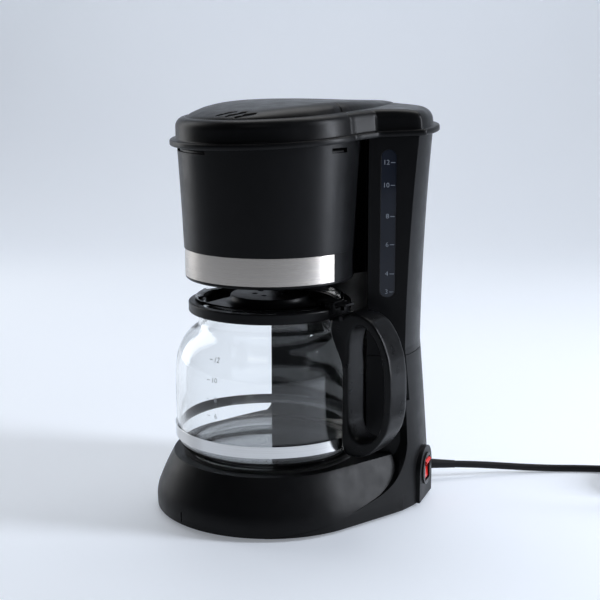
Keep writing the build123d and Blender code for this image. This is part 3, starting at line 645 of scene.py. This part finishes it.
def build_handle(shape):
    outer, inner = reach_table(HANDLE_OUT), reach_table(HANDLE_IN)
    rings = []
    for i in range(360):
        angle = -math.pi + 2 * math.pi * (i + 0.5) / 360
        far = sum(outline_reach(outer, angle + d) for d in ROUNDING) / len(ROUNDING)
        near = sum(outline_reach(inner, angle + d) for d in ROUNDING) / len(ROUNDING)
        middle, half = (far + near) / 2, (far - near) / 2
        ring = []
        for k in range(40):
            turn = 2 * math.pi * (k + 0.5) / 40
            c, s = math.cos(turn), math.sin(turn)
            across = math.copysign(abs(c) ** HANDLE_SQUARE, c)
            side = math.copysign(abs(s) ** HANDLE_SQUARE, s)
            radius = middle + half * across
            ring.append((HANDLE_CENTRE[0] + radius * math.cos(angle), HANDLE_WIDE / 2 * side,
                         HANDLE_CENTRE[1] + radius * math.sin(angle)))
        rings.append(ring)
    loft(shape, rings, loop=True)


piece("jug_grip", build_handle, HANDLE, "jug", ("jug_handle",), HANDLE_TURN, 40)


# Printed numbers and ticks

def lettering(name, text, size):
    """A number as a flat mesh, right-aligned on the origin."""
    words = bpy.data.curves.new(name, "FONT")
    words.body = text
    words.size = size
    words.align_x = "RIGHT"
    words.align_y = "CENTER"
    words.resolution_u = 3
    flat = bpy.data.objects.new(name, words)
    bpy.context.scene.collection.objects.link(flat)
    bpy.context.view_layer.update()
    mesh = bpy.data.meshes.new_from_object(flat.evaluated_get(bpy.context.evaluated_depsgraph_get()))
    bpy.data.objects.remove(flat)
    shape = bmesh.new()
    shape.from_mesh(mesh)
    bpy.data.meshes.remove(mesh)
    return shape


def print_marks(name, marks, size, tick, finish, body, onto):
    """Numbers with a tick beside each, joined in one flat piece that is laid on a surface.

    marks holds each number and its height. tick holds where the number ends, where its tick starts
    and ends, and half the tick's thickness. onto(across, height) gives the place on the surface.
    """
    text_end, left, right, half = tick

    def build(shape):
        for text, height in marks:
            word = lettering(name + "_word", text, size)
            for vert in word.verts:
                vert.co = (vert.co.x + text_end, vert.co.y + height, 0)
            spare = bpy.data.meshes.new(name + "_spare")
            word.to_mesh(spare)
            word.free()
            shape.from_mesh(spare)
            bpy.data.meshes.remove(spare)
            corners = [(left, -half), (right, -half), (right, half), (left, half)]
            shape.faces.new([shape.verts.new((x, y + height, 0)) for x, y in corners])
        for vert in shape.verts:
            vert.co = onto(vert.co.x, vert.co.y)
    return piece(name, build, finish, body)


GAUGE_MARKS = (("12", 277.8), ("10", 260.3), ("8", 236.3), ("6", 214.2), ("4", 191.3), ("3", 177.0))
GAUGE_ALONG = Vector((0.6295, 0.777, 0))
GAUGE_OUT = Vector((0.777, -0.6295, 0))
GAUGE_MIDDLE = Vector((60.7, 47.7, 0)) + GAUGE_ALONG * 16.9
GAUGE_IN = 0.22         # moves the print in, to lie just over the window


def on_gauge(across, height):
    return GAUGE_MIDDLE + GAUGE_ALONG * across - GAUGE_OUT * GAUGE_IN + Vector((0, 0, height))


print_marks("gauge_marks", GAUGE_MARKS, 5.2, (0.6, 1.4, 4.8, 0.26), PRINT, "housing", on_gauge)

JUG_MARKS = (("12", 132.7), ("10", 117.7), ("8", 102.8), ("6", 90.0))
MARK_TURN = math.radians(-77.0)
MARK_R = 76.0
MARK_PROUD = 0.12       # how far the print stands off the glass


def on_jug(across, height):
    turn = MARK_TURN + across / MARK_R
    radius = MARK_PROUD + next(r0 + (r1 - r0) * (height - z0) / (z1 - z0)
                         for (r0, z0), (r1, z1) in zip(GLASS_OUT[6:], GLASS_OUT[7:]) if z0 <= height <= z1)
    return Vector((radius * math.cos(turn), radius * math.sin(turn), height))


print_marks("jug_marks", JUG_MARKS, 5.6, (9.8, 0, 3.0, 0.22), JUG_PRINT, "jug", on_jug)


# Floor, backdrop and lights

# The floor's near and far edge from the machine, the backdrop's bend and top, and half the width, in metres
FLOOR_NEAR, FLOOR_FAR = -2.5, 1.3
BEND_R, BEND_STEPS = 0.7, 16
BACKDROP_TOP = 4.0
STAGE_HALF = 4.0


def build_stage():
    """A pale floor that runs up into a backdrop behind the machine."""
    sweep = [(FLOOR_NEAR, 0.0), (FLOOR_FAR, 0.0)]
    for i in range(1, BEND_STEPS + 1):
        bend = math.pi / 2 * i / BEND_STEPS
        sweep.append((FLOOR_FAR + BEND_R * math.sin(bend), BEND_R - BEND_R * math.cos(bend)))
    sweep.append((FLOOR_FAR + BEND_R, BACKDROP_TOP))
    mesh = bpy.data.meshes.new("stage_floor")
    verts = [(side * STAGE_HALF, depth, height) for depth, height in sweep for side in (-1, 1)]
    faces = [(2 * i, 2 * i + 1, 2 * i + 3, 2 * i + 2) for i in range(len(sweep) - 1)]
    mesh.from_pydata(verts, [], faces)
    mesh.shade_smooth()
    made = bpy.data.objects.new("stage_floor", mesh)
    made.rotation_euler = (0, 0, CAMERA_TURN)
    bpy.context.scene.collection.objects.link(made)
    paper = material("stage_paper", (0.72, 0.76, 0.82), 0.55,
                     Emission_Color=(0.84, 0.89, 0.97, 1), Emission_Strength=0.24)
    shader = paper.node_tree.nodes["Principled BSDF"]
    link(paper, two_tone(paper, noise(paper, 1.2), (0.72, 0.76, 0.82), (0.77, 0.81, 0.86)),
         shader.inputs["Base Color"])
    mesh.materials.append(paper)


CAMERA_SIDE = -37.5                  # the camera's bearing from the machine, from +X, in degrees
AIM = Vector((0, 0, 0.17))           # about the machine's middle


def softbox(name, turn, height, distance, width, tall, power, colour=(1, 1, 1)):
    """Area light, turn degrees to the camera's right, aimed at the machine."""
    data = bpy.data.lights.new(name, "AREA")
    data.shape = "RECTANGLE"
    data.size, data.size_y = width, tall
    data.energy = power
    data.color = colour
    lamp = bpy.data.objects.new(name, data)
    bpy.context.scene.collection.objects.link(lamp)
    angle = math.radians(CAMERA_SIDE + turn)
    lamp.location = (distance * math.cos(angle), distance * math.sin(angle), height)
    lamp.rotation_euler = (AIM - lamp.location).to_track_quat("-Z", "Y").to_euler()


build_stage()
softbox("key_right", 80, 0.6, 1.3, 0.26, 1.2, 24, (0.88, 0.92, 1.0))
softbox("fill_left", -125, 0.7, 1.5, 0.7, 1.5, 7)
softbox("top", 165, 1.8, 0.8, 1.6, 1.0, 13.5)
softbox("front", -20, 2.4, 2.2, 1.2, 0.6, 3)

world = bpy.data.worlds.new("studio")
world.use_nodes = True
world.node_tree.nodes["Background"].inputs["Color"].default_value = (0.80, 0.87, 1.0, 1)
world.node_tree.nodes["Background"].inputs["Strength"].default_value = 0.055
bpy.context.scene.world = world
bpy.context.scene.view_settings.view_transform = "Standard"
